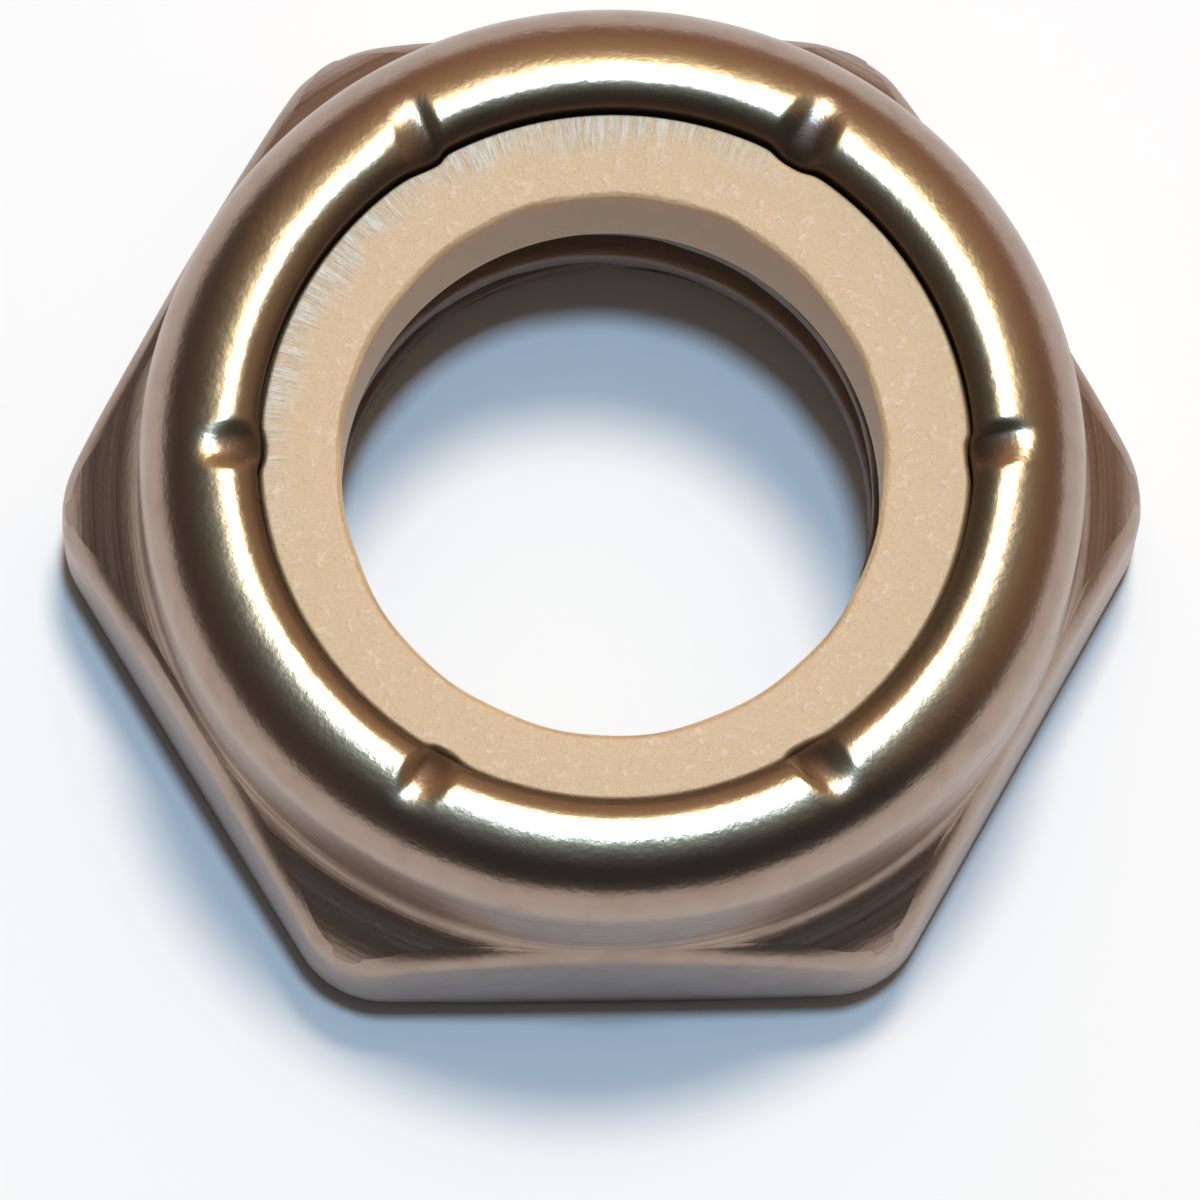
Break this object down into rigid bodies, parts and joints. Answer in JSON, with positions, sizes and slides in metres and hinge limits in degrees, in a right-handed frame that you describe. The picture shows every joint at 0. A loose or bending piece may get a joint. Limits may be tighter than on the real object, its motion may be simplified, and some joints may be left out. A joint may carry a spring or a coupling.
{
  "type": "nylon insert lock nut",
  "caption": "Thin hexagonal steel lock nut whose round collar is rolled and crimped over a nylon ring that grips the bolt thread.",
  "frame": {"origin": "centre of the bearing face, on the bore's axis; the nut rests on this face", "axes": "+Z along the bore, from the bearing face towards the nylon ring; two corners of the hexagon lie along X and two wrench flats face along Y"},
  "size_m": [0.0214, 0.019, 0.0079],
  "materials": {
    "steel": "satin machined stainless steel, burnished bright on the rolled collar",
    "nylon": "off-white natural nylon, finely scuffed"
  },
  "bodies": {
    "root": {"nut_body": "steel", "locking_ring": "nylon"}
  },
  "joints": []
}
